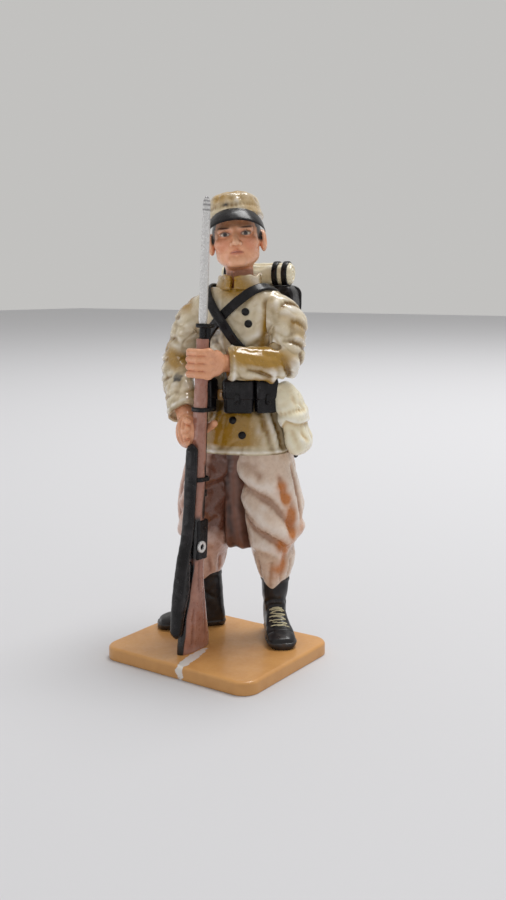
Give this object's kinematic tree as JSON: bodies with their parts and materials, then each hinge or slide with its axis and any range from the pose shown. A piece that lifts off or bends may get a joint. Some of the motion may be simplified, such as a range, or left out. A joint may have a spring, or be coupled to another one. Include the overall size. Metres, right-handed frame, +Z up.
{
  "type": "toy soldier figure",
  "caption": "Painted cast-metal toy soldier standing on a small rounded base, hands holding a rifle with fixed bayonet upright in front; a display figure.",
  "frame": {"origin": "middle of the base plate's underside", "axes": "+Z up, along the figure; -Y towards the base's front edge, where the rifle's butt stands; +X towards the figure's left"},
  "size_m": [0.025, 0.0277, 0.0641],
  "materials": {
    "base_paint": "satin ochre paint, worn to bare metal in one place",
    "tunic_paint": "glossy cream-khaki enamel with an olive wash in the folds",
    "trouser_paint": "glossy pinkish-cream enamel with an orange-brown wash in the folds",
    "flesh_paint": "glossy flesh enamel",
    "leather_paint": "glossy black-brown enamel",
    "canvas_paint": "glossy pale cream enamel",
    "stock_paint": "glossy pink-brown enamel",
    "gun_paint": "glossy black enamel",
    "bright_metal": "bright bare metal",
    "brass_paint": "glossy brass-coloured enamel"
  },
  "bodies": {
    "root": {"base_plate": "base_paint", "left_boot": "leather_paint", "right_boot": "leather_paint", "left_trouser_leg": "trouser_paint", "right_trouser_leg": "trouser_paint", "trouser_seat": "trouser_paint", "tunic_skirt": "tunic_paint", "tunic_torso": "tunic_paint", "tunic_collar": "tunic_paint", "left_sleeve": "tunic_paint", "right_sleeve": "tunic_paint", "left_hand": "flesh_paint", "right_hand": "flesh_paint", "head": "flesh_paint", "cap": "tunic_paint", "cap_visor": "leather_paint", "waist_belt": "leather_paint", "belt_plate": "brass_paint", "left_pouch": "leather_paint", "side_pouch": "leather_paint", "right_pouch": "leather_paint", "canteen_strap": "leather_paint", "haversack_strap": "leather_paint", "haversack": "canvas_paint", "canteen": "canvas_paint", "bayonet_scabbard": "leather_paint", "knapsack": "leather_paint", "blanket_roll": "canvas_paint", "roll_straps": "leather_paint", "rifle_stock": "stock_paint", "rifle_barrel": "gun_paint", "rifle_receiver": "gun_paint", "rifle_bolt": "gun_paint", "trigger_guard": "gun_paint", "sling_ring": "bright_metal", "rifle_bands": "gun_paint", "rifle_sling": "leather_paint", "bayonet_hilt": "gun_paint", "bayonet_blade": "bright_metal", "tunic_buttons": "leather_paint"}
  },
  "joints": []
}
